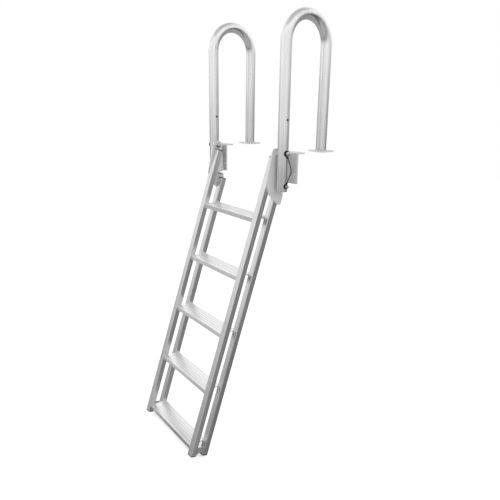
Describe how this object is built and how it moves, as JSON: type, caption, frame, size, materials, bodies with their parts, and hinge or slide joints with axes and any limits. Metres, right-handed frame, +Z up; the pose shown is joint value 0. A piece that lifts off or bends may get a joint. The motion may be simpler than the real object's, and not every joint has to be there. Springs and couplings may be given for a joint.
{
  "type": "dock ladder",
  "caption": "Flip-up aluminium dock ladder: deep ribbed steps between twin-tube side rails, hinged at arched handrails that bolt to the dock's top and edge.",
  "frame": {"origin": "centre of the right base plate's underside, on the dock's top", "axes": "+X to the right along the steps seen from the water, +Y from the water to the dock, +Z up"},
  "size_m": [0.6461, 0.7475, 2],
  "materials": {
    "handrail_tube": "bright drawn tube, lightly brushed along its length",
    "rail_extrusion": "mill-finish extrusion",
    "step_extrusion": "mill-finish ribbed extrusion",
    "frame_plate": "mill-finish plate, welded",
    "mounting_plate": "mill-finish plate",
    "steel_fastener": "plain stainless steel",
    "nylon_spacer": "natural nylon",
    "black_cap": "moulded polyethylene",
    "black_cord": "vinyl-coated cable"
  },
  "bodies": {
    "dock_frame": {"right_handrail": "handrail_tube", "right_base_plate": "mounting_plate", "right_dock_bracket": "mounting_plate", "right_pivot_bolt": "steel_fastener", "right_pivot_nut": "steel_fastener", "right_pivot_spacer": "nylon_spacer", "right_pivot_collar": "steel_fastener", "right_lock_pin": "steel_fastener", "right_lanyard": "black_cord", "right_lanyard_top_eye": "black_cord", "right_lanyard_pin_eye": "black_cord", "left_handrail": "handrail_tube", "left_base_plate": "mounting_plate", "left_dock_bracket": "mounting_plate", "left_pivot_bolt": "steel_fastener", "left_pivot_nut": "steel_fastener", "left_pivot_spacer": "nylon_spacer", "left_pivot_collar": "steel_fastener", "left_lock_pin": "steel_fastener", "left_lanyard": "black_cord", "left_lanyard_top_eye": "black_cord", "left_lanyard_pin_eye": "black_cord"},
    "swing_ladder": {"right_front_rail": "rail_extrusion", "right_rear_rail": "rail_extrusion", "right_foot_plate": "frame_plate", "right_swing_plate": "frame_plate", "right_front_foot_cap": "black_cap", "right_rear_foot_cap": "black_cap", "right_front_top_cap": "black_cap", "right_rear_top_cap": "black_cap", "left_front_rail": "rail_extrusion", "left_rear_rail": "rail_extrusion", "left_foot_plate": "frame_plate", "left_swing_plate": "frame_plate", "left_front_foot_cap": "black_cap", "left_rear_foot_cap": "black_cap", "left_front_top_cap": "black_cap", "left_rear_top_cap": "black_cap", "step_1": "step_extrusion", "step_2": "step_extrusion", "step_3": "step_extrusion", "step_4": "step_extrusion", "step_5": "step_extrusion"}
  },
  "joints": [
    {"name": "flip_up_hinge", "type": "hinge", "parent": "dock_frame", "child": "swing_ladder", "pos_m": [-0.27305, -0.2311, 0.002], "axis": [-1, 0, 0], "range_deg": [0, 180]}
  ]
}
